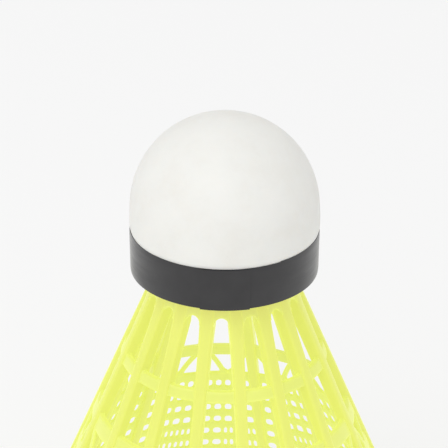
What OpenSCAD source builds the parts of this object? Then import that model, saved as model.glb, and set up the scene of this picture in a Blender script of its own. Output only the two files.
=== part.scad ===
// Badminton shuttlecock with a moulded nylon skirt.
// It stands on its rim: +Z runs up the axis to the nose of the head.
// The origin is the middle of the rim's underside.

/* [Head] */
// Diameter of the covered head, which ends in a half ball
head_d = 26.4; // [21.8:0.1:32]
// Height of the head's side, from its flat foot to where the half ball starts
side_h = 9.3; // [7:0.1:12]
// How much narrower the head is at its foot than above the band
foot_taper = 0.5; // [0:0.05:1]
// How far the tape pulls the skin in at the band's top edge
squeeze = 0.15; // [0:0.01:0.4]
// Height over which the skin swells out again above the band
squeeze_h = 0.6; // [0.3:0.05:0.8]
// Thickness of the soft skin over the core
cover_t = 0.4; // [0.2:0.05:0.8]

/* [Band] */
// Height of the tape band round the foot of the head
band_h = 6.15; // [4:0.05:8]
// Thickness of one layer of tape
tape_t = 0.12; // [0.08:0.01:0.3]
// Angle over which the tape's end laps its start
lap_angle = 30; // [10:1:60]
// How much lower the lapping end was laid
lap_drop = 0.15; // [0:0.05:0.5]
// Direction of the middle of the lap, measured from +X
lap_at = 261; // [0:1:359]

/* [Skirt] */
// Height of the skirt from its rim to the head
skirt_h = 58; // [48:0.1:70]
// Outside diameter of the skirt at its rim
rim_d = 66.3; // [55:0.1:80]
// Outside diameter of the skirt where it meets the head
neck_d = 18.5; // [15.4:0.1:21.4]
// Number of ribs
rib_count = 16; // [12:1:18]
// Width of a rib across its flat sides, at the head
rib_neck_w = 1.85; // [1.5:0.05:2.25]
// Width of a rib at the rim
rib_rim_w = 1.1; // [0.9:0.05:1.4]
// Depth of a rib from its outer to its inner face, at the head
rib_neck_depth = 2; // [1.9:0.05:2.4]
// Depth of a rib at the rim
rib_rim_depth = 1; // [0.95:0.05:1.2]
// Radius of a rib's rounded outer corners, behind which the rings and the mesh lie
rib_round = 0.4; // [0.2:0.05:0.45]

/* [Collar and plug] */
// Height of the solid collar under the head, down to the rib tops
collar_h = 4.05; // [3:0.05:5]
// Thickness of the floor that closes the collar against the head
floor_t = 1.2; // [0.8:0.1:2]
// Outside diameter of the plug that fills the hole in the core
plug_d = 9.6; // [7:0.1:11.5]
// Wall of the hollow plug
plug_wall = 1.3; // [0.8:0.1:2]
// Length of the plug inside the core
plug_len = 9; // [6:0.5:11]
// Number of gripping barbs round the plug
barb_count = 3; // [1:1:4]
// How far each barb stands out of the plug
barb_out = 0.4; // [0.2:0.05:0.6]
// Height of one barb, from its sharp lower edge to where it blends into the plug
barb_h = 1.2; // [0.8:0.1:1.6]
// Thickness of the glue film between the barbs and the core
glue_gap = 0.15; // [0.1:0.05:0.3]

/* [Rings] */
// Depth of the upper ring's top edge below the head
upper_ring_at = 12.4; // [8:0.1:14]
// Height of the upper ring
upper_ring_h = 1.5; // [1:0.05:3]
// Depth of the middle ring's top edge below the head
middle_ring_at = 21.75; // [18:0.05:22.5]
// Height of the middle ring
middle_ring_h = 2.1; // [1.5:0.05:3]
// Thickness of both rings
ring_t = 0.75; // [0.5:0.05:0.9]
// Height of the rim hoop that the skirt stands on
rim_h = 2; // [1:0.1:2.5]

/* [Mesh] */
// Thickness of the mesh
mesh_t = 0.42; // [0.35:0.01:0.5]
// Height of the solid hoop along the top of the mesh
top_hoop_h = 1.85; // [0.8:0.05:2.2]
// Wanted distance from one row of holes to the next
row_pitch = 2.63; // [2.2:0.01:3.2]
// Height of the cross strands between two rows
cross_strand = 1.26; // [0.8:0.02:1.4]
// Columns of holes between two ribs
columns = 5; // [4:1:8]
// Width of the strands between two columns
strand = 0.45; // [0.3:0.05:0.6]
// Width of the fine strands that halve some columns
fine_strand = 0.28; // [0.2:0.02:0.36]
// Row from the top at which the fine strands start
fine_row = 5; // [2:1:8]
// Height of the petal edges, from the top of the mesh up to the middle ring
petal_h = 3.85; // [3:0.05:4.5]
// Width of a petal edge
petal_edge = 0.8; // [0.5:0.05:0.9]
// Gap between the feet of two neighbouring petal edges
petal_gap = 0.5; // [0.2:0.05:1]
// Angle by which a petal edge leans towards its rib at its foot
petal_lean = 22; // [15:1:30]
// Radius of a petal edge's slight curve
petal_r = 22; // [15:1:40]

/* [Hidden] */
$fn = 96;
rib_step = 360 / rib_count;
rib_numbers = [for (k = [1 : rib_count]) str(k < 10 ? "0" : "", k)];

head_r = head_d / 2;
foot_r = head_r - foot_taper / 2;
band_r = head_r - squeeze;
head_h = side_h + head_r;
rim_r = rim_d / 2;
neck_r = neck_d / 2;
plug_r = plug_d / 2;

// The skirt is a straight cone. Insets are measured square to its surface.
slope = atan((rim_r - neck_r) / skirt_h);
function cone_r(z, inset = 0) = rim_r + (neck_r - rim_r) * z / skirt_h - inset / cos(slope);

// The hole in the core leaves room for the barbs and the glue film.
barb_r = plug_r + barb_out;
hole_r = barb_r + glue_gap;
hole_len = plug_len + glue_gap;
barb_pitch = (plug_len - barb_h) / barb_count;

// A rib tapers from the head to the rim. Rings and mesh lie between its flat sides.
function taper(z, rim, neck) = rim + (neck - rim) * z / skirt_h;
function half_w(z) = taper(z, rib_rim_w, rib_neck_w) / 2;
function depth(z) = taper(z, rib_rim_depth, rib_neck_depth);
collar_z = skirt_h - collar_h;
middle_ring_z = skirt_h - middle_ring_at - middle_ring_h;
mesh_z = middle_ring_z - petal_h;
// Rows of holes share out the height between the top hoop and the rim hoop, each row with
// its cross strand below it.
mesh_open = mesh_z - top_hoop_h - rim_h;
rows = round(mesh_open / row_pitch);
row_step = mesh_open / rows;
hole_h = row_step - cross_strand;

// How far cutting tools run past what they cut
cut = 5;
// Thickness of the two end slices that a rib is stretched between
slice_t = 0.01;

// Half of the head's outline, taken in from the surface by inset
module head_half(inset = 0) {
    polygon([[0, 0], [foot_r - inset, 0], [band_r - inset, band_h], [head_r - inset, band_h + squeeze_h],
             [head_r - inset, side_h], [0, side_h]]);
    intersection() {
        translate([0, side_h]) circle(head_r - inset);
        translate([0, side_h]) square(head_r);
    }
}

module head_solid(inset = 0) {
    translate([0, 0, skirt_h]) rotate_extrude() head_half(inset);
}

module cork_core() {
    color("#c9a06a") difference() {
        head_solid(cover_t);
        translate([0, 0, skirt_h - cut]) cylinder(r = hole_r, h = cut + hole_len);
    }
}

module head_cover() {
    color("#f1efea") translate([0, 0, skirt_h]) rotate_extrude() difference() {
        head_half();
        head_half(cover_t);
    }
}

// Outline of one layer of tape: layer 0 lies on the cover, layer 1 on layer 0
module tape_outline(layer, drop) {
    inner = layer * tape_t;
    outer = inner + tape_t;
    polygon([[foot_r + inner, -drop], [foot_r + outer, -drop],
             [band_r + outer, band_h - drop], [band_r + inner, band_h - drop]]);
}

module band_tape() {
    color("#444346") translate([0, 0, skirt_h]) {
        rotate_extrude() tape_outline(0, 0);
        rotate([0, 0, lap_at - lap_angle / 2]) rotate_extrude(angle = lap_angle) tape_outline(1, lap_drop);
    }
}

// Half of the plug's outline, with its barbs, standing on the collar's floor
module plug_half(wall) {
    translate([plug_r - wall, 0]) square([wall, plug_len]);
    for (i = [1 : barb_count]) translate([plug_r, i * barb_pitch])
        polygon([[-wall / 2, 0], [barb_out, 0], [0, barb_h], [-wall / 2, barb_h]]);
}

module skirt_plug() {
    color("#dff050") translate([0, 0, skirt_h]) rotate_extrude() plug_half(plug_wall);
}

module glue_film() {
    color("#e8e2c0") translate([0, 0, skirt_h]) difference() {
        cylinder(r = hole_r, h = hole_len);
        rotate_extrude() plug_half(plug_r);
    }
}

// The collar's lower edge is notched between the ribs. Each notch is a round-topped slot
// that narrows inwards, so the root left between two notches is as wide as its rib.
module skirt_collar() {
    apex = half_w(collar_z) / sin(rib_step / 2);
    reach = 2 * cone_r(collar_z);
    color("#e6f35f") difference() {
        rotate_extrude() polygon([
            [plug_r - plug_wall, skirt_h], [neck_r, skirt_h], [cone_r(collar_z), collar_z],
            [cone_r(collar_z, depth(collar_z)), collar_z],
            [cone_r(skirt_h - floor_t, depth(skirt_h)), skirt_h - floor_t],
            [plug_r - plug_wall, skirt_h - floor_t]]);
        for (k = [0 : rib_count - 1]) rotate([0, 0, (k + 0.5) * rib_step])
            translate([apex, 0, collar_z]) rotate([0, 90, 0])
                cylinder(r1 = 0, r2 = reach * sin(rib_step / 2), h = reach);
    }
}

// The skirt's surface along +X, laid out flat: X runs up the cone line and Y across it
module on_cone_line() {
    translate([rim_r, 0, 0]) rotate([0, -90 - slope, 0]) children();
}

// Cross-section of a rib at height z, with its round corners and outer face on the skirt's surface
module rib_section(z) {
    translate([rib_round, -half_w(z)]) square([depth(z) - rib_round, 2 * half_w(z)]);
    for (s = [-1, 1]) translate([rib_round, s * (half_w(z) - rib_round)]) circle(rib_round, $fn = 32);
}

// One rib along +X, cut level at both ends
module rib_bar() {
    intersection() {
        on_cone_line() hull() for (z = [-cut, skirt_h + cut])
            translate([z / cos(slope), 0, 0]) rotate([0, -90, 0]) linear_extrude(slice_t) rib_section(z);
        translate([0, -rib_neck_w, rim_h]) cube([rim_r + cut, 2 * rib_neck_w, collar_z - rim_h]);
    }
}

module rib(k) {
    color("#ecf580") rotate([0, 0, k * rib_step]) rib_bar();
}

// The room that one rib takes up between its neighbours
module rib_slot() {
    top = skirt_h + cut;
    on_cone_line() translate([0, 0, -cut]) linear_extrude(2 * cut) polygon([
        [-cut / cos(slope), half_w(-cut)], [top / cos(slope), half_w(top)],
        [top / cos(slope), -half_w(top)], [-cut / cos(slope), -half_w(-cut)]]);
}

// Outline of a band on the ribs' flat sides, from height low to height high
module band_outline(low, high, thick) {
    polygon([[cone_r(low, rib_round), low], [cone_r(high, rib_round), high],
             [cone_r(high, rib_round + thick), high], [cone_r(low, rib_round + thick), low]]);
}

module skirt_ring(at, tall) {
    difference() {
        rotate_extrude() band_outline(skirt_h - at - tall, skirt_h - at, ring_t);
        for (k = [0 : rib_count - 1]) rotate([0, 0, k * rib_step]) rib_slot();
    }
}

module upper_ring() {
    color("#dff050") skirt_ring(upper_ring_at, upper_ring_h);
}

module middle_ring() {
    color("#dff050") skirt_ring(middle_ring_at, middle_ring_h);
}

module rim_hoop() {
    color("#e6f35f") rotate_extrude() polygon([
        [cone_r(0), 0], [cone_r(rim_h), rim_h],
        [cone_r(rim_h, depth(rim_h)), rim_h], [cone_r(0, depth(0)), 0]]);
}

// Radius of the mesh's middle layer at height z
function mesh_r(z) = cone_r(z, rib_round + mesh_t / 2);

// One hole through the mesh at height z and angle a, w wide
module mesh_hole(z, a, w) {
    rotate([0, 0, a]) translate([mesh_r(z), 0, z]) rotate([0, -slope, 0])
        cube([4 * mesh_t, w, hole_h / cos(slope)], center = true);
}

// All holes of the panel between the rib at angle 0 and the next one
module panel_holes() {
    for (row = [0 : rows - 1]) {
        z = mesh_z - top_hoop_h - row * row_step - hole_h / 2;
        r = mesh_r(z);
        side = asin(half_w(z) / r);
        step = (rib_step - 2 * side) / columns;
        w = r * step * PI / 180 - strand;
        split = (w - fine_strand) / 2;
        for (c = [0 : columns - 1]) {
            a = side + (c + 0.5) * step;
            halved = row >= fine_row - 1 && c < columns / 2;
            if (halved) for (s = [-1, 1])
                mesh_hole(z, a + s * (split + fine_strand) / 2 / r * 180 / PI, split);
            else mesh_hole(z, a, w);
        }
    }
}

// Outline of a pointed arch over a rib, laid flat with its point towards -X and its feet at 0.
// Its two arcs stand half a foot spread to each side, and grow moves them outwards.
module arch(half_spread, grow) {
    down = petal_r * sin(petal_lean);
    across = half_spread - petal_r * cos(petal_lean);
    intersection() {
        translate([down, across]) circle(petal_r + grow);
        translate([down, -across]) circle(petal_r + grow);
    }
}

// Everything above the mesh but the petal edges, each of which is one side of an arch
module petal_windows() {
    r = mesh_r(mesh_z);
    half_spread = r * sin(rib_step / 2) - petal_gap / 2 - petal_edge / 2 / cos(petal_lean);
    difference() {
        translate([0, 0, mesh_z]) cylinder(r = rim_r, h = skirt_h - mesh_z);
        for (k = [0, 1]) rotate([0, 0, k * rib_step]) translate([r, 0, mesh_z]) rotate([0, 90 - slope, 0])
            linear_extrude(2 * cut, center = true) difference() {
                arch(half_spread, petal_edge / 2);
                arch(half_spread, -petal_edge / 2);
            }
    }
}

module mesh_panel(k) {
    color("#e4f26e") rotate([0, 0, k * rib_step]) difference() {
        rotate_extrude(angle = rib_step) band_outline(rim_h, middle_ring_z, mesh_t);
        panel_holes();
        petal_windows();
        for (a = [0, rib_step]) rotate([0, 0, a]) rib_slot();
    }
}

cork_core();
head_cover();
band_tape();
glue_film();
skirt_plug();
skirt_collar();
upper_ring();
middle_ring();
rim_hoop();
for (k = [0 : rib_count - 1]) rib(k);
for (k = [0 : rib_count - 1]) mesh_panel(k);
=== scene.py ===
# A badminton shuttlecock: a leather-covered cork head with a tape band, and a moulded nylon
# skirt that it stands on. Sizes in the dictionaries are millimetres unless a name says otherwise.
import math

import bmesh
import bpy
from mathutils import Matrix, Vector, noise


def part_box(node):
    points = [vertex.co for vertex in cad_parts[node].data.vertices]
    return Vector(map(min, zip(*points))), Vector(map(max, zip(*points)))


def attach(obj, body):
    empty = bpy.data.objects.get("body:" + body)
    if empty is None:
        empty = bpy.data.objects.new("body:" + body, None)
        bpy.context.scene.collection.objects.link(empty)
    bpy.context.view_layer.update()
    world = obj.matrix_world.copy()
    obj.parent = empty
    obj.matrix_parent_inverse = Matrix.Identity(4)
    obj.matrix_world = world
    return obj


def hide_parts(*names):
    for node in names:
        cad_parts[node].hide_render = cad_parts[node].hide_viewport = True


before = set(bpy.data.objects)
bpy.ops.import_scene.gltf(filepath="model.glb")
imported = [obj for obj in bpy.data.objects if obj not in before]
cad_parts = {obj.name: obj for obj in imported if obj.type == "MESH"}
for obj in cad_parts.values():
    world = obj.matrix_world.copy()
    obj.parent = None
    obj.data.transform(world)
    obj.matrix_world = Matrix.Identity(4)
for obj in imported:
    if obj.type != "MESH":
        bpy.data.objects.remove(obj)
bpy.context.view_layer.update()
print("frame loaded:", len(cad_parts), "nodes")


def mm(value):
    return value / 1000


# places taken from the frame
headLow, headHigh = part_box("head_cover")
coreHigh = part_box("cork_core")[1]
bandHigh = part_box("band_tape")[1]
collarLow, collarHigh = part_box("skirt_collar")
upperLow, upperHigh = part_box("upper_ring")
middleLow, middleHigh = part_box("middle_ring")
rimLow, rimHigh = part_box("rim_hoop")
ribNodes = sorted(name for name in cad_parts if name.startswith("rib_"))
panelNodes = sorted(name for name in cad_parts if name.startswith("mesh_panel_"))

skirtTop = collarHigh.z
ribStep = 2 * math.pi / len(ribNodes)
coneTan = (rimHigh.x - collarHigh.x) / collarLow.z  # the skirt is a straight cone
coneCos = math.cos(math.atan(coneTan))
coneSin = math.sin(math.atan(coneTan))


def coneRadius(z, inset=0.0):
    return rimHigh.x - coneTan * z - inset / coneCos


def skirtPoint(angle, z, inset=0.0, side=0.0):
    # side is the distance across the rib that stands at this angle
    r = coneRadius(z, inset)
    return Vector((r * math.cos(angle) - side * math.sin(angle),
                   r * math.sin(angle) + side * math.cos(angle), z))


# helpers for meshes
def loft(bm, rings, closed=False):
    # joins rings of points with faces; a ring of one point is a pole
    rows = [[bm.verts.new(point) for point in ring] for ring in rings]
    pairs = list(zip(rows, rows[1:]))
    if closed:
        pairs.append((rows[-1], rows[0]))
    for low, high in pairs:
        count = max(len(low), len(high))
        for i in range(count):
            j = (i + 1) % count
            corners = [low[i % len(low)], low[j % len(low)], high[j % len(high)], high[i % len(high)]]
            bm.faces.new(list(dict.fromkeys(corners)))
    if not closed:
        for ring in (rows[0], rows[-1]):
            if len(ring) > 2:
                bm.faces.new(ring)


def roundedBox(wide, tall, radius, steps=4):
    # outline of a box with round corners, centred on 0, 0
    points = []
    for quarter, (sx, sy) in enumerate([(1, 1), (-1, 1), (-1, -1), (1, -1)]):
        for i in range(steps + 1):
            turn = (quarter + i / steps) * math.pi / 2
            points.append((sx * (wide / 2 - radius) + radius * math.cos(turn),
                           sy * (tall / 2 - radius) + radius * math.sin(turn)))
    return points


def makePiece(name, bm, material, nodes=(), sharpAngle=40):
    bmesh.ops.recalc_face_normals(bm, faces=bm.faces)
    mesh = bpy.data.meshes.new(name)
    bm.to_mesh(mesh)
    bm.free()
    for face in mesh.polygons:
        face.use_smooth = True
    mesh.set_sharp_from_angle(angle=math.radians(sharpAngle))
    mesh.materials.append(material)
    piece = bpy.data.objects.new(name, mesh)
    bpy.context.scene.collection.objects.link(piece)
    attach(piece, "root")
    if nodes:
        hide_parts(*nodes)
    return piece


# helpers for materials
def fromHex(code):
    # sRGB hex to the linear colour that the shaders work in
    channels = [int(code[i:i + 2], 16) / 255 for i in (1, 3, 5)]
    return [c / 12.92 if c <= 0.04045 else ((c + 0.055) / 1.055) ** 2.4 for c in channels] + [1.0]


def perMetre(sizeMm):
    # texture scale at which one feature is sizeMm across
    return 1000 / sizeMm


def addNode(tree, kind, inputs=None, stops=None, **settings):
    # a value that is a socket gets linked, anything else is set on the input; stops are a ramp's colours
    node = tree.nodes.new("ShaderNode" + kind)
    for key, value in settings.items():
        setattr(node, key, value)
    for key, value in (inputs or {}).items():
        if isinstance(value, bpy.types.NodeSocket):
            tree.links.new(value, node.inputs[key])
        else:
            node.inputs[key].default_value = value
    for i, (place, colour) in enumerate(stops or []):
        element = node.color_ramp.elements[i] if i < 2 else node.color_ramp.elements.new(place)
        element.position = place
        element.color = colour
    return node


def newMaterial(name):
    material = bpy.data.materials.new(name)
    material.use_nodes = True
    material.node_tree.nodes.clear()
    return material, material.node_tree


def grey(value):
    return [value, value, value, 1.0]


# materials
leather = dict(base="#EDECE7", light="#EFEEE9", dark="#EAE8E2", mottle=5.0, grain=0.32, grainDepth=0.05,
               folds=1.6, foldDepth=0.12, roughness=0.56)


def syntheticLeather():
    # polyurethane leather, pressed with a fine grain: off-white, matt, with a faint soft sheen
    material, tree = newMaterial("syntheticLeather")
    place = addNode(tree, "TexCoord").outputs["Object"]
    mottle = addNode(tree, "TexNoise", {"Vector": place, "Scale": perMetre(leather["mottle"]), "Detail": 5.0,
                                        "Roughness": 0.62})
    colour = addNode(tree, "ValToRGB", {"Fac": mottle.outputs["Fac"]}, stops=[
        (0.25, fromHex(leather["dark"])), (0.75, fromHex(leather["light"])), (0.5, fromHex(leather["base"]))])
    cells = addNode(tree, "TexVoronoi", {"Vector": place, "Scale": perMetre(leather["grain"]),
                                         "Randomness": 0.9}, feature="SMOOTH_F1")
    folds = addNode(tree, "TexNoise", {"Vector": place, "Scale": perMetre(leather["folds"]), "Detail": 6.0,
                                       "Roughness": 0.6})
    fine = addNode(tree, "Bump", {"Height": cells.outputs["Distance"], "Strength": 0.28,
                                  "Distance": mm(leather["grainDepth"])})
    soft = addNode(tree, "Bump", {"Height": folds.outputs["Fac"], "Strength": 0.3,
                                  "Distance": mm(leather["foldDepth"]), "Normal": fine.outputs["Normal"]})
    gloss = addNode(tree, "MapRange", {"Value": folds.outputs["Fac"], "From Min": 0.3, "From Max": 0.7,
                                       "To Min": leather["roughness"] - 0.07,
                                       "To Max": leather["roughness"] + 0.08})
    shader = addNode(tree, "BsdfPrincipled", {
        "Base Color": colour.outputs["Color"], "Roughness": gloss.outputs["Result"], "IOR": 1.46,
        "Specular IOR Level": 0.35, "Sheen Weight": 0.08, "Sheen Roughness": 0.4,
        "Subsurface Weight": 0.12, "Subsurface Radius": (mm(1.2), mm(0.9), mm(0.7)), "Subsurface Scale": 1.0,
        "Normal": soft.outputs["Normal"]})
    addNode(tree, "OutputMaterial", {"Surface": shader.outputs["BSDF"]})
    return material


tape = dict(base="#232224", light="#2A292B", streak=0.55, streakDepth=0.03, stretch=3.5, stretchDepth=0.12,
            roughness=0.34, sheen=0.5)


def vinylTape():
    # calendered PVC tape: dark grey, half matt, with fine streaks along its length
    material, tree = newMaterial("vinylTape")
    place = addNode(tree, "TexCoord").outputs["Object"]
    along = addNode(tree, "Mapping", {"Vector": place, "Scale": (0.08, 0.08, 1.0)})
    streaks = addNode(tree, "TexNoise", {"Vector": along.outputs["Vector"], "Scale": perMetre(tape["streak"]),
                                         "Detail": 5.0, "Roughness": 0.65})
    stretch = addNode(tree, "TexNoise", {"Vector": place, "Scale": perMetre(tape["stretch"]), "Detail": 4.0})
    colour = addNode(tree, "ValToRGB", {"Fac": stretch.outputs["Fac"]}, stops=[
        (0.35, fromHex(tape["base"])), (0.7, fromHex(tape["light"]))])
    gloss = addNode(tree, "MapRange", {"Value": streaks.outputs["Fac"], "From Min": 0.3, "From Max": 0.7,
                                       "To Min": tape["roughness"] - 0.06, "To Max": tape["roughness"] + 0.1})
    lines = addNode(tree, "Bump", {"Height": streaks.outputs["Fac"], "Strength": 0.22,
                                   "Distance": mm(tape["streakDepth"])})
    waves = addNode(tree, "Bump", {"Height": stretch.outputs["Fac"], "Strength": 0.22,
                                   "Distance": mm(tape["stretchDepth"]), "Normal": lines.outputs["Normal"]})
    shader = addNode(tree, "BsdfPrincipled", {
        "Base Color": colour.outputs["Color"], "Roughness": gloss.outputs["Result"], "IOR": 1.52,
        "Sheen Weight": tape["sheen"], "Sheen Roughness": 0.35, "Normal": waves.outputs["Normal"]})
    addNode(tree, "OutputMaterial", {"Surface": shader.outputs["BSDF"]})
    return material


# the glow strength and tint set an emission that is partly the dye's fluorescence and partly painted light
nylon = dict(ribTone="#AAB04C", ribDeep="#A1A940", frameTone="#A8B056", frameDeep="#9FA94A",
             meshTone="#A8B05C", meshDeep="#9FA94E", paintedGlow=0.46, paintedGlowTint="#FCFF88", roughness=0.36,
             sparkGrain=0.22, sparkDepth=0.03, flow=9.0, flowDepth=0.15)


def mouldedNylon(name, base, deep):
    # injection-moulded nylon with a fluorescent dye: satin and slightly translucent. Its emission is partly
    # the dye's fluorescence and partly painted light, a glow that brightens the shaded parts and flattens the
    # shading.
    # The spark-eroded mould leaves a fine matt grain, and the melt leaves faint flow marks.
    material, tree = newMaterial(name)
    place = addNode(tree, "TexCoord").outputs["Object"]
    along = addNode(tree, "Mapping", {"Vector": place, "Scale": (1.0, 1.0, 0.3)})
    flow = addNode(tree, "TexNoise", {"Vector": along.outputs["Vector"], "Scale": perMetre(nylon["flow"]),
                                      "Detail": 4.0, "Roughness": 0.55})
    grain = addNode(tree, "TexNoise", {"Vector": place, "Scale": perMetre(nylon["sparkGrain"]),
                                       "Detail": 3.0})
    colour = addNode(tree, "ValToRGB", {"Fac": flow.outputs["Fac"]}, stops=[
        (0.3, fromHex(deep)), (0.7, fromHex(base))])
    gloss = addNode(tree, "MapRange", {"Value": flow.outputs["Fac"], "From Min": 0.3, "From Max": 0.7,
                                       "To Min": nylon["roughness"] + 0.07,
                                       "To Max": nylon["roughness"] - 0.05})
    spark = addNode(tree, "Bump", {"Height": grain.outputs["Fac"], "Strength": 0.2,
                                   "Distance": mm(nylon["sparkDepth"])})
    marks = addNode(tree, "Bump", {"Height": flow.outputs["Fac"], "Strength": 0.15,
                                   "Distance": mm(nylon["flowDepth"]), "Normal": spark.outputs["Normal"]})
    shader = addNode(tree, "BsdfPrincipled", {
        "Base Color": colour.outputs["Color"], "Roughness": gloss.outputs["Result"], "IOR": 1.53,
        "Subsurface Weight": 0.35, "Subsurface Radius": (mm(1.6), mm(1.8), mm(0.5)), "Subsurface Scale": 1.0,
        # the emission is painted light: partly fluorescence, partly a glow standing in for light that evens
        # out the shade
        "Emission Color": fromHex(nylon["paintedGlowTint"]), "Emission Strength": nylon["paintedGlow"],
        "Normal": marks.outputs["Normal"]})
    addNode(tree, "OutputMaterial", {"Surface": shader.outputs["BSDF"]})
    return material


cork = dict(light="#C99A62", mid="#A87845", dark="#6B4526", granule=1.3, gapDepth=0.3, pits=0.4,
            pitDepth=0.15, roughness=0.85)


def pressedCork():
    # cork granules pressed with a binder: warm tan cells, dark bark specks, dry and matt
    material, tree = newMaterial("pressedCork")
    place = addNode(tree, "TexCoord").outputs["Object"]
    granules = addNode(tree, "TexVoronoi", {"Vector": place, "Scale": perMetre(cork["granule"])})
    tone = addNode(tree, "SeparateColor", {"Color": granules.outputs["Color"]})
    colour = addNode(tree, "ValToRGB", {"Fac": tone.outputs["Red"]}, stops=[
        (0.06, fromHex(cork["dark"])), (0.85, fromHex(cork["light"])), (0.2, fromHex(cork["mid"]))])
    edges = addNode(tree, "TexVoronoi", {"Vector": place, "Scale": perMetre(cork["granule"])},
                    feature="DISTANCE_TO_EDGE")
    pits = addNode(tree, "TexNoise", {"Vector": place, "Scale": perMetre(cork["pits"]), "Detail": 6.0})
    gaps = addNode(tree, "Bump", {"Height": edges.outputs["Distance"], "Strength": 0.5,
                                  "Distance": mm(cork["gapDepth"])})
    rough = addNode(tree, "Bump", {"Height": pits.outputs["Fac"], "Strength": 0.5,
                                   "Distance": mm(cork["pitDepth"]), "Normal": gaps.outputs["Normal"]})
    shader = addNode(tree, "BsdfPrincipled", {
        "Base Color": colour.outputs["Color"], "Roughness": cork["roughness"], "IOR": 1.4,
        "Normal": rough.outputs["Normal"]})
    addNode(tree, "OutputMaterial", {"Surface": shader.outputs["BSDF"]})
    return material


glue = dict(light="#F1E7BE", dark="#D8C78C", bubble=0.6, bubbleDepth=0.1, roughness=0.18)


def curedGlue():
    # contact glue, cured to an uneven amber film: glossy with small bubbles
    material, tree = newMaterial("curedGlue")
    place = addNode(tree, "TexCoord").outputs["Object"]
    bubbles = addNode(tree, "TexVoronoi", {"Vector": place, "Scale": perMetre(glue["bubble"])},
                      feature="SMOOTH_F1")
    colour = addNode(tree, "ValToRGB", {"Fac": bubbles.outputs["Distance"]}, stops=[
        (0.1, fromHex(glue["light"])), (0.6, fromHex(glue["dark"]))])
    dimple = addNode(tree, "Bump", {"Height": bubbles.outputs["Distance"], "Strength": 0.4,
                                    "Distance": mm(glue["bubbleDepth"])})
    shader = addNode(tree, "BsdfPrincipled", {
        "Base Color": colour.outputs["Color"], "Roughness": glue["roughness"], "IOR": 1.5,
        "Subsurface Weight": 0.3,
        "Subsurface Radius": (mm(0.8), mm(0.6), mm(0.3)), "Subsurface Scale": 1.0,
        "Normal": dimple.outputs["Normal"]})
    addNode(tree, "OutputMaterial", {"Surface": shader.outputs["BSDF"]})
    return material


leatherSkin = syntheticLeather()
tapeVinyl = vinylTape()
ribNylon = mouldedNylon("ribNylon", nylon["ribTone"], nylon["ribDeep"])
frameNylon = mouldedNylon("frameNylon", nylon["frameTone"], nylon["frameDeep"])
meshNylon = mouldedNylon("meshNylon", nylon["meshTone"], nylon["meshDeep"])
corkMass = pressedCork()
glueAmber = curedGlue()
print("materials made")


# head
head = dict(sideHeight=9.4, ballSlimmer=0.1, footTaper=0.5, squeeze=0.15, swellHeight=0.6, bulgeAt=7.4,
            bulgeReach=1.9, columns=240, ballRows=64, sideRows=60, unevenness=0.03, patches=3.2,
            evenFoot=0.5, creaseFade=1.6)
# each crease in the skin runs up from the band: direction in degrees, height, length, width and depth
creases = [dict(at=217, rise=1.2, long=1.6, wide=0.45, deep=0.10),
           dict(at=219.5, rise=0.8, long=1.0, wide=0.35, deep=0.07),
           dict(at=283, rise=0.9, long=1.4, wide=0.4, deep=0.08),
           dict(at=286, rise=1.5, long=2.2, wide=0.5, deep=0.09),
           dict(at=289, rise=0.8, long=1.1, wide=0.35, deep=0.07)]

headRadius = headHigh.x
headSide = mm(head["sideHeight"])
bandHeight = bandHigh.z - headLow.z
coverThick = headHigh.z - coreHigh.z


def headRadiusAt(height):
    # radius of the skin's outside, height being measured up from the foot
    if height < bandHeight:
        foot, top = mm(head["footTaper"]) / 2, mm(head["squeeze"])
        return headRadius - foot + (foot - top) * height / bandHeight
    ballRadius = headRadius - mm(head["ballSlimmer"])
    fromBulge = (height - mm(head["bulgeAt"])) / mm(head["bulgeReach"])
    bulge = mm(head["ballSlimmer"]) * math.exp(-fromBulge ** 2)
    if height < headSide:
        # above the band the skin swells out again
        swell = math.sin(min(1, (height - bandHeight) / mm(head["swellHeight"])) * math.pi / 2)
        return (headRadius - mm(head["squeeze"])) * (1 - swell) + (ballRadius + bulge) * swell
    return math.sqrt(max(ballRadius ** 2 - (height - headSide) ** 2, 0)) + bulge


def skinOffset(angle, height):
    # soft unevenness all over, and a few small creases above the band
    spot = Vector((math.cos(angle), math.sin(angle), height / headRadius)) * head["patches"]
    offset = mm(head["unevenness"]) * (noise.noise(spot) - 0.5)
    for crease in creases:
        across = headRadius * (math.remainder(angle - math.radians(crease["at"]), 2 * math.pi))
        up = height - bandHeight - mm(crease["rise"])
        reach = (across / mm(crease["wide"])) ** 2 + (up / mm(crease["long"])) ** 2 * 2
        offset -= mm(crease["deep"]) * math.exp(-reach * head["creaseFade"])
    return offset


def makeHeadSkin():
    angles = [2 * math.pi * j / head["columns"] for j in range(head["columns"])]
    sides = [headSide * i / head["sideRows"] for i in range(head["sideRows"])]
    ballRadius = headRadius - mm(head["ballSlimmer"])
    quarters = [math.pi / 2 * i / head["ballRows"] for i in range(head["ballRows"])]
    ball = [headSide + ballRadius * math.sin(turn) for turn in quarters]
    rings = [[Vector((0, 0, headHigh.z - mm(head["unevenness"]) / 2))]]
    for height in reversed(sides + ball):
        ring = []
        for angle in angles:
            r = headRadiusAt(height) + skinOffset(angle, height) * min(1, height / mm(head["evenFoot"]))
            ring.append(Vector((r * math.cos(angle), r * math.sin(angle), headLow.z + height)))
        rings.append(ring)
    scale = (headRadius - coverThick) / headRadius
    for height in sides + ball:
        r = headRadiusAt(height) - coverThick if height <= headSide else headRadiusAt(height) * scale
        z = headLow.z + (height if height <= headSide else headSide + (height - headSide) * scale)
        rings.append([Vector((r * math.cos(angle), r * math.sin(angle), z)) for angle in angles])
    rings.append([Vector((0, 0, headHigh.z - coverThick))])
    bm = bmesh.new()
    loft(bm, rings)
    makePiece("headSkin", bm, leatherSkin, ["head_cover"])


makeHeadSkin()
print("head skin made")

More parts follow.
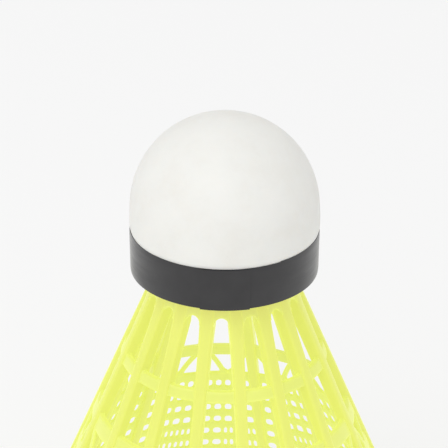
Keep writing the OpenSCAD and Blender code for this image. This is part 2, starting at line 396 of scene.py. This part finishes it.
# band
band = dict(layer=0.12, lapFrom=246.0, lapTo=276.0, drop=0.06, lapDrop=0.15, topStepAt=296.5, topStep=0.1,
            topStepSpan=60, columns=360, lapColumns=60, rows=14, edgeRound=0.04, lift=0.01, wave=0.03,
            waveSteps=2.2, lowWave=3, highWave=7, ripple=0.03, rippleSteps=4, rippleRise=400)


def bandRing(angle, low, high, lift):
    # cross-section of one layer of tape at this angle, from height low to height high
    thick = mm(band["layer"])
    rows = band["rows"]
    outer, inner = [], []
    for i in range(rows + 1):
        height = low + (high - low) * i / rows
        base = headRadiusAt(max(height, 0)) + mm(lift)
        if i in (0, rows):
            outer.append((base + thick - mm(band["edgeRound"]), height))
        else:
            spot = Vector((math.cos(angle) * band["rippleSteps"], math.sin(angle) * band["rippleSteps"],
                           height * band["rippleRise"]))
            outer.append((base + thick + mm(band["ripple"]) * noise.noise(spot), height))
        inner.append((base, height))
    return [Vector((r * math.cos(angle), r * math.sin(angle), headLow.z + height))
            for r, height in outer + inner[::-1]]


def edgeWave(angle, seed):
    steps = band["waveSteps"]
    return mm(band["wave"]) * noise.noise(Vector((math.cos(angle) * steps, math.sin(angle) * steps, seed)))


def makeTapeBand():
    bm = bmesh.new()
    rings = []
    for j in range(band["columns"]):
        angle = 2 * math.pi * j / band["columns"]
        past = math.degrees(angle) - band["topStepAt"]
        step = mm(band["topStep"]) * (max(0, 1 - past / band["topStepSpan"]) if past >= 0 else 0)
        low = edgeWave(angle, band["lowWave"]) - mm(band["drop"])
        high = bandHeight + edgeWave(angle, band["highWave"]) - mm(band["drop"]) + step
        rings.append(bandRing(angle, low, high, 0))
    loft(bm, rings, closed=True)
    rings = []
    span = band["lapTo"] - band["lapFrom"]
    for j in range(band["lapColumns"] + 1):
        angle = math.radians(band["lapFrom"] + span * j / band["lapColumns"])
        low = edgeWave(angle, band["lowWave"]) / 2 - mm(band["lapDrop"])
        high = bandHeight + edgeWave(angle, band["highWave"]) - mm(band["lapDrop"])
        rings.append(bandRing(angle, low, high, band["layer"] + band["lift"]))
    loft(bm, rings)
    makePiece("tapeBand", bm, tapeVinyl, ["band_tape"])


makeTapeBand()
print("tape band made")

# ribs
rib = dict(neckWidth=1.85, rimWidth=1.1, neckDepth=2.0, rimDepth=1.0, outerCorner=0.4, crown=0.05,
           backCorner=0.22, cornerSteps=6, backSteps=3, stations=64, bury=0.3, buryRise=0.4,
           rimOverlap=0.5, topGap=0.02, flare=0.12, flareReach=6.0)


def taper(z, rim, neck):
    return mm(rim + (neck - rim) * z / skirtTop)


def ribHalf(z):
    # the ribs flare a little just below the collar
    near = max(0, 1 - max(0, collarLow.z - z) / mm(rib["flareReach"]))
    return taper(z, rib["rimWidth"], rib["neckWidth"]) / 2 + mm(rib["flare"]) * near ** 2


def ribDepth(z):
    return taper(z, rib["rimDepth"], rib["neckDepth"])


def ribRing(angle, z):
    # a slightly crowned outer face between round corners, flat sides, and a flat back
    half, deep = ribHalf(z), ribDepth(z)
    if z > collarLow.z:
        deep -= mm(rib["bury"]) * min(1, (z - collarLow.z) / mm(rib["buryRise"]))
    if z < rimHigh.z:
        deep -= mm(rib["bury"])
    corner, outer, crown = mm(rib["backCorner"]), mm(rib["outerCorner"]), mm(rib["crown"])
    section = []
    for sign in (1, -1):
        arc = []
        for i in range(rib["cornerSteps"] + 1):
            turn = math.pi / 2 * i / rib["cornerSteps"]
            inset = crown + (outer - crown) * (1 - math.sin(turn))
            arc.append((inset, sign * (half - outer + outer * math.cos(turn))))
        section += arc if sign > 0 else [(0.0, 0.0)] + arc[::-1]
    for sign, start in ((-1, 0), (1, 1)):
        for i in range(rib["backSteps"] + 1):
            turn = (start + i / rib["backSteps"]) * math.pi / 2
            section.append((deep - corner + corner * math.sin(turn if sign < 0 else math.pi - turn),
                            sign * (half - corner + corner * abs(math.cos(turn)))))
    return [skirtPoint(angle, z, inset, side) for inset, side in section]


def makeRib(k):
    low, high = rimHigh.z - mm(rib["rimOverlap"]), skirtTop - mm(rib["topGap"])
    heights = [low + (high - low) * i / rib["stations"] for i in range(rib["stations"] + 1)]
    bm = bmesh.new()
    loft(bm, [ribRing(k * ribStep, z) for z in heights])
    return makePiece("rib%02d" % (k + 1), bm, ribNylon, [ribNodes[k]], sharpAngle=50)


ribs = [makeRib(k) for k in range(len(ribNodes))]
print("ribs made:", len(ribs))

# collar
collar = dict(recess=0.12, behindRib=0.25, fillet=0.08, floor=1.2, floorFillet=0.8, holeRadius=3.5,
              holeEdge=0.15, outerRound=0.2, innerRound=0.25, wallSteps=6, roundSteps=4, slotSteps=14)


def slotHalf(z):
    # half the gap between two ribs' flat sides
    return coneRadius(z) * math.sin(ribStep / 2) - ribHalf(z)


def collarRing(angle, lowEdge, recess):
    # cross-section of the collar's wall and floor at this angle
    floorZ = skirtTop - mm(collar["floor"])
    outerRound, innerRound = mm(collar["outerRound"]), mm(collar["innerRound"])
    turns = [math.pi / 2 * i / collar["roundSteps"] for i in range(collar["roundSteps"] + 1)]
    section = []
    for i in range(collar["wallSteps"] + 1):
        z = skirtTop + (lowEdge + outerRound - skirtTop) * i / collar["wallSteps"]
        section.append((recess, z))
    for turn in turns[1:]:
        section.append((recess + outerRound * (1 - math.cos(turn)),
                        lowEdge + outerRound * (1 - math.sin(turn))))
    back = ribDepth(lowEdge)
    for turn in turns:
        section.append((back - innerRound * (1 - math.sin(turn)),
                        lowEdge + innerRound * (1 - math.cos(turn))))
    fillet = mm(collar["floorFillet"])
    section.append((back, (lowEdge + innerRound + floorZ - fillet) / 2))
    points = [skirtPoint(angle, z, inset) for inset, z in section]
    wallR = coneRadius(floorZ - fillet, back)
    spots = []
    for turn in turns:
        spots.append((wallR - fillet * (1 - math.cos(turn)), floorZ - fillet * (1 - math.sin(turn))))
    hole, edge = mm(collar["holeRadius"]), mm(collar["holeEdge"])
    spots += [(hole + edge, floorZ), (hole, floorZ + edge), (hole, skirtTop)]
    points += [Vector((r * math.cos(angle), r * math.sin(angle), z)) for r, z in spots]
    return points


def makeCollar():
    edgeAngle = math.asin(ribHalf(collarLow.z) / coneRadius(collarLow.z))
    half = slotHalf(collarLow.z)
    behind = mm(collar["recess"] + collar["behindRib"])
    rings = []
    for k in range(len(ribNodes)):
        for share in (-0.55, 0.0, 0.55):
            rings.append(collarRing(k * ribStep + edgeAngle * share, collarLow.z, behind))
        for i in range(collar["slotSteps"] + 1):
            turn = math.pi * i / collar["slotSteps"]
            across = (1 - math.cos(turn)) / 2
            rise = math.sin(turn)
            hollow = mm(collar["recess"]) - mm(collar["fillet"]) * (1 - rise) ** 2
            rings.append(collarRing(k * ribStep + edgeAngle + (ribStep - 2 * edgeAngle) * across,
                                    collarLow.z + half * rise, hollow))
    bm = bmesh.new()
    loft(bm, rings, closed=True)
    makePiece("collarMoulding", bm, frameNylon, ["skirt_collar"], sharpAngle=50)


makeCollar()
print("collar made")

# rings and rim
ring = dict(thickness=0.75, edgeRound=0.18, filletReach=0.5, filletRise=0.16, middleSteps=8)


def makeRing(name, low, high, node):
    # runs all the way round behind the ribs' round corners, and swells a little where it joins each rib
    rings = []
    z = (low + high) / 2
    edgeAngle = math.asin(ribHalf(z) / coneRadius(z))
    reachAngle = mm(ring["filletReach"]) / coneRadius(z)
    steps = [edgeAngle + reachAngle * share for share in (0, 0.2, 0.45, 0.75, 1)]
    span = ribStep - 2 * steps[-1]
    middle = [steps[-1] + span * i / ring["middleSteps"] for i in range(1, ring["middleSteps"])]
    steps = [0] + steps + middle + [ribStep - step for step in reversed(steps)]
    inset = mm(rib["outerCorner"] + ring["thickness"] / 2)
    for k in range(len(ribNodes)):
        for step in steps:
            gap = (min(step, ribStep - step) - edgeAngle) / reachAngle
            swell = mm(ring["filletRise"]) * min(1, max(0, 1 - gap)) ** 2
            tall = high - low + 2 * swell
            outline = roundedBox(mm(ring["thickness"]), tall, mm(ring["edgeRound"]))
            rings.append([skirtPoint(k * ribStep + step, z + up, inset + across) for across, up in outline])
    bm = bmesh.new()
    loft(bm, rings, closed=True)
    makePiece(name, bm, frameNylon, [node])


makeRing("upperRing", upperLow.z, upperHigh.z, "upper_ring")
makeRing("middleRing", middleLow.z, middleHigh.z, "middle_ring")

rim = dict(edgeRound=0.35, edgeSteps=5, columns=288)


def makeRim():
    deep = mm(rib["rimDepth"])
    z = (rimLow.z + rimHigh.z) / 2
    outline = roundedBox(deep, rimHigh.z - rimLow.z, mm(rim["edgeRound"]), steps=rim["edgeSteps"])
    angles = [2 * math.pi * j / rim["columns"] for j in range(rim["columns"])]
    bm = bmesh.new()
    loft(bm, [[skirtPoint(angle, z + up, deep / 2 + across) for across, up in outline] for angle in angles],
         closed=True)
    makePiece("rimHoop", bm, frameNylon, ["rim_hoop"])


makeRim()
print("rings and rim made")

# mesh
lattice = dict(thickness=0.46, topHoop=1.85, rowPitch=2.63, crossStrand=1.26, columns=5, strand=0.5,
               fineStrand=0.28, fineRow=5, squareness=3.2, bury=0.35, rimBury=0.3)

meshInset = mm(rib["outerCorner"] + lattice["thickness"] / 2)

petal = dict(tall=3.85, edge=0.78, edgeRound=0.42, gap=0.5, lean=22, radius=22, footFlare=0.6,
             flareReach=0.7, bury=0.4, steps=24)

meshTop = middleLow.z - mm(petal["tall"])
meshOpen = meshTop - mm(lattice["topHoop"]) - rimHigh.z
rowCount = round(meshOpen / mm(lattice["rowPitch"]))
rowStep = meshOpen / rowCount
holeTall = rowStep - mm(lattice["crossStrand"])


def meshPoint(k, column, z):
    # column counts the lattice's columns from rib k to the next rib
    r = coneRadius(z, meshInset)
    side = math.asin(ribHalf(z) / r)
    angle = k * ribStep + side + (ribStep - 2 * side) * column / lattice["columns"]
    return skirtPoint(angle, z, meshInset)


def columnWidth(z):
    r = coneRadius(z, meshInset)
    return r * (ribStep - 2 * math.asin(ribHalf(z) / r)) / lattice["columns"]


def makePanel(k):
    bm = bmesh.new()
    known = {}

    def vertex(column, z):
        # neighbouring cells share the points on their common border, to an eighth of a column and a micron
        key = (round(column * 8), round(z * 1e6))
        if key not in known:
            known[key] = bm.verts.new(meshPoint(k, column, z))
        return known[key]

    def cell(first, last, low, high, holeHalf, extra):
        # one hole and the strands round it; extra points on the lower border meet the finer cells below
        centre, mid = (first + last) / 2, (low + high) / 2
        border = [(last, mid), (last, high), (centre, high), (first, high), (first, mid), (first, low)]
        if extra:
            border += [(first + (last - first) / 4, low), (centre, low), (last - (last - first) / 4, low)]
        else:
            border += [(centre, low)]
        border.append((last, low))
        width = columnWidth(mid)
        outer, inner = [], []
        power = 2 / lattice["squareness"]
        for column, z in border:
            dx, dz = (column - centre) / ((last - first) / 2), (z - mid) / ((high - low) / 2)
            turn = math.atan2(dz, dx)
            across = holeHalf * math.copysign(abs(math.cos(turn)) ** power, math.cos(turn))
            up = holeTall / 2 * math.copysign(abs(math.sin(turn)) ** power, math.sin(turn))
            outer.append(vertex(column, z))
            inner.append(bm.verts.new(meshPoint(k, centre + across / width, mid + up)))
        for i in range(len(border)):
            j = (i + 1) % len(border)
            bm.faces.new([outer[i], outer[j], inner[j], inner[i]])

    columns = lattice["columns"]
    halfCross = mm(lattice["crossStrand"]) / 2
    topHole = meshTop - mm(lattice["topHoop"])
    for row in range(rowCount):
        high = topHole - row * rowStep + halfCross
        low = high - rowStep
        width = columnWidth((low + high) / 2)
        holeWide = width - mm(lattice["strand"])
        for column in range(columns):
            fine = row >= lattice["fineRow"] - 1 and column < columns / 2
            fineBelow = row + 1 >= lattice["fineRow"] - 1 and column < columns / 2 and row + 1 < rowCount
            if fine:
                half = (holeWide - mm(lattice["fineStrand"])) / 4
                for left in (column, column + 0.5):
                    cell(left, left + 0.5, low, high, half, False)
            else:
                cell(column, column + 1, low, high, holeWide / 2, fineBelow)
        if row == 0:
            topLine = high
    # the strip below the last row runs into the rim hoop
    foot = rimHigh.z - mm(lattice["rimBury"])
    footStops = [i / 4 for i in range(4 * columns + 1) if i % 2 == 0 or i / 4 < math.ceil(columns / 2)]
    for left, right in zip(footStops, footStops[1:]):
        bm.faces.new([vertex(left, foot), vertex(right, foot), vertex(right, low), vertex(left, low)])
    # solid hoop above the first row
    hoopStops = [i / 2 for i in range(2 * columns + 1)]
    lines = [topLine, (topLine + meshTop) / 2, meshTop]
    for low, high in zip(lines, lines[1:]):
        for left, right in zip(hoopStops, hoopStops[1:]):
            bm.faces.new([vertex(left, low), vertex(right, low), vertex(right, high), vertex(left, high)])
    # the ends run into the ribs
    bury = mm(lattice["bury"])
    ends = {0: [], columns: []}
    for (column, z), point in sorted(((key[0] / 8, key[1] / 1e6), v) for key, v in known.items()):
        if column in ends:
            ends[column].append((z, point))
    for column, points in ends.items():
        buried = [bm.verts.new(meshPoint(k, column + (bury if column else -bury) / columnWidth(z), z))
                  for z, point in points]
        for i in range(len(points) - 1):
            bm.faces.new([points[i][1], points[i + 1][1], buried[i + 1], buried[i]])
    piece = makePiece("meshPanel%02d" % (k + 1), bm, meshNylon, [panelNodes[k]], sharpAngle=80)
    thicken = piece.modifiers.new("thickness", "SOLIDIFY")
    thicken.thickness = mm(lattice["thickness"])
    thicken.offset = 0
    soften = piece.modifiers.new("roundedStrands", "SUBSURF")
    soften.levels = soften.render_levels = 1
    return piece


panels = [makePanel(k) for k in range(len(panelNodes))]
print("mesh panels made:", len(panels))


def makePetalEdges():
    # two slightly curved edges lean together over each rib, from the mesh's top hoop to the middle ring
    wide, thick, bend = mm(petal["edge"]), mm(lattice["thickness"]), mm(petal["radius"])
    corner = thick * petal["edgeRound"]
    lean = math.radians(petal["lean"])
    spread = (coneRadius(meshTop, meshInset) * math.sin(ribStep / 2) - mm(petal["gap"]) / 2
              - wide / 2 / math.cos(lean))
    tall = (middleLow.z - meshTop) / coneCos + 2 * mm(petal["bury"])
    rises = [tall * i / petal["steps"] - mm(petal["bury"]) for i in range(petal["steps"] + 1)]
    bm = bmesh.new()
    for k in range(len(ribNodes)):
        for sign in (1, -1):
            points = []
            for up in rises:
                bow = math.sqrt(bend ** 2 - (up + bend * math.sin(lean)) ** 2)
                side = spread - bend * math.cos(lean) + bow
                z = meshTop + up * coneCos
                angle = k * ribStep + sign * math.asin(side / coneRadius(z, meshInset))
                points.append(skirtPoint(angle, z, meshInset))
            rings = []
            for i, (up, point) in enumerate(zip(rises, points)):
                flare = mm(petal["footFlare"]) * max(0, 1 - max(0, up) / mm(petal["flareReach"])) ** 2
                along = (points[min(i + 1, len(points) - 1)] - points[max(i - 1, 0)]).normalized()
                outward = Vector((point.x, point.y, 0)).normalized() * coneCos + Vector((0, 0, coneSin))
                across = along.cross(outward).normalized()
                outline = roundedBox(wide + flare, thick, corner, steps=3)
                rings.append([point + across * a + outward * b for a, b in outline])
            loft(bm, rings)
    makePiece("petalEdges", bm, meshNylon)


makePetalEdges()
print("petal edges made")

# inner parts that keep their own shape
for node, material in (("cork_core", corkMass), ("glue_film", glueAmber), ("skirt_plug", frameNylon)):
    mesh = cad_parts[node].data
    mesh.materials.clear()
    mesh.materials.append(material)

# studio
studio = dict(world=0.76, floorGlow=0.595, floorTone="#F2F2F2", floorGrey=0.42, floorHalf=3, keyPower=4.4,
              keySize=0.9, keyDistance=1.1, keyAzimuth=-38, keyElevation=52)
view = dict(azimuth=-9.45, elevation=27.2, distance=500, aimUp=5.78, aimLeft=0.09, roll=0.42, lens=289.1,
            nearest=0.01)
# studio sizes are metres, view distances millimetres


def direction(azimuth, elevation):
    # azimuth 0 looks along +Y, so it lies towards -Y
    a, e = math.radians(azimuth), math.radians(elevation)
    return Vector((math.sin(a) * math.cos(e), -math.cos(a) * math.cos(e), math.sin(e)))


def pointAt(thing, target):
    thing.rotation_euler = (target - thing.location).to_track_quat("-Z", "Y").to_euler()


def makeFloor():
    material, tree = newMaterial("paleFloor")
    shader = addNode(tree, "BsdfPrincipled", {
        "Base Color": grey(studio["floorGrey"]), "Roughness": 0.9, "Specular IOR Level": 0.1,
        "Emission Color": fromHex(studio["floorTone"]), "Emission Strength": studio["floorGlow"]})
    addNode(tree, "OutputMaterial", {"Surface": shader.outputs["BSDF"]})
    bm = bmesh.new()
    bmesh.ops.create_grid(bm, x_segments=8, y_segments=8, size=studio["floorHalf"])
    mesh = bpy.data.meshes.new("floor")
    bm.to_mesh(mesh)
    bm.free()
    mesh.materials.append(material)
    floor = bpy.data.objects.new("floor", mesh)
    floor.location.z = rimLow.z
    bpy.context.scene.collection.objects.link(floor)


def makeLight(name, power, size, azimuth, elevation, target):
    light = bpy.data.lights.new(name, "AREA")
    light.energy, light.size = power, size
    lamp = bpy.data.objects.new(name, light)
    lamp.location = target + direction(azimuth, elevation) * studio["keyDistance"]
    bpy.context.scene.collection.objects.link(lamp)
    pointAt(lamp, target)


def makeCamera(target):
    camera = bpy.data.objects.new("camera", bpy.data.cameras.new("camera"))
    camera.data.lens = view["lens"]
    camera.data.clip_start = view["nearest"]
    towards = direction(view["azimuth"], view["elevation"])
    right = Vector((math.cos(math.radians(view["azimuth"])), math.sin(math.radians(view["azimuth"])), 0))
    up = towards.cross(right)
    camera.location = target + towards * mm(view["distance"])
    pointAt(camera, target + up * mm(view["aimUp"]) - right * mm(view["aimLeft"]))
    camera.rotation_euler.rotate_axis("Z", math.radians(view["roll"]))
    bpy.context.scene.collection.objects.link(camera)
    bpy.context.scene.camera = camera


headFoot = Vector((0, 0, skirtTop))
makeFloor()
makeLight("keyLight", studio["keyPower"], studio["keySize"],
          studio["keyAzimuth"], studio["keyElevation"], headFoot)
makeCamera(headFoot)
world = bpy.data.worlds.new("studio")
world.use_nodes = True
world.node_tree.nodes["Background"].inputs["Color"].default_value = grey(1.0)
world.node_tree.nodes["Background"].inputs["Strength"].default_value = studio["world"]
bpy.context.scene.world = world
bpy.context.scene.view_settings.view_transform = "Standard"
print("studio made")
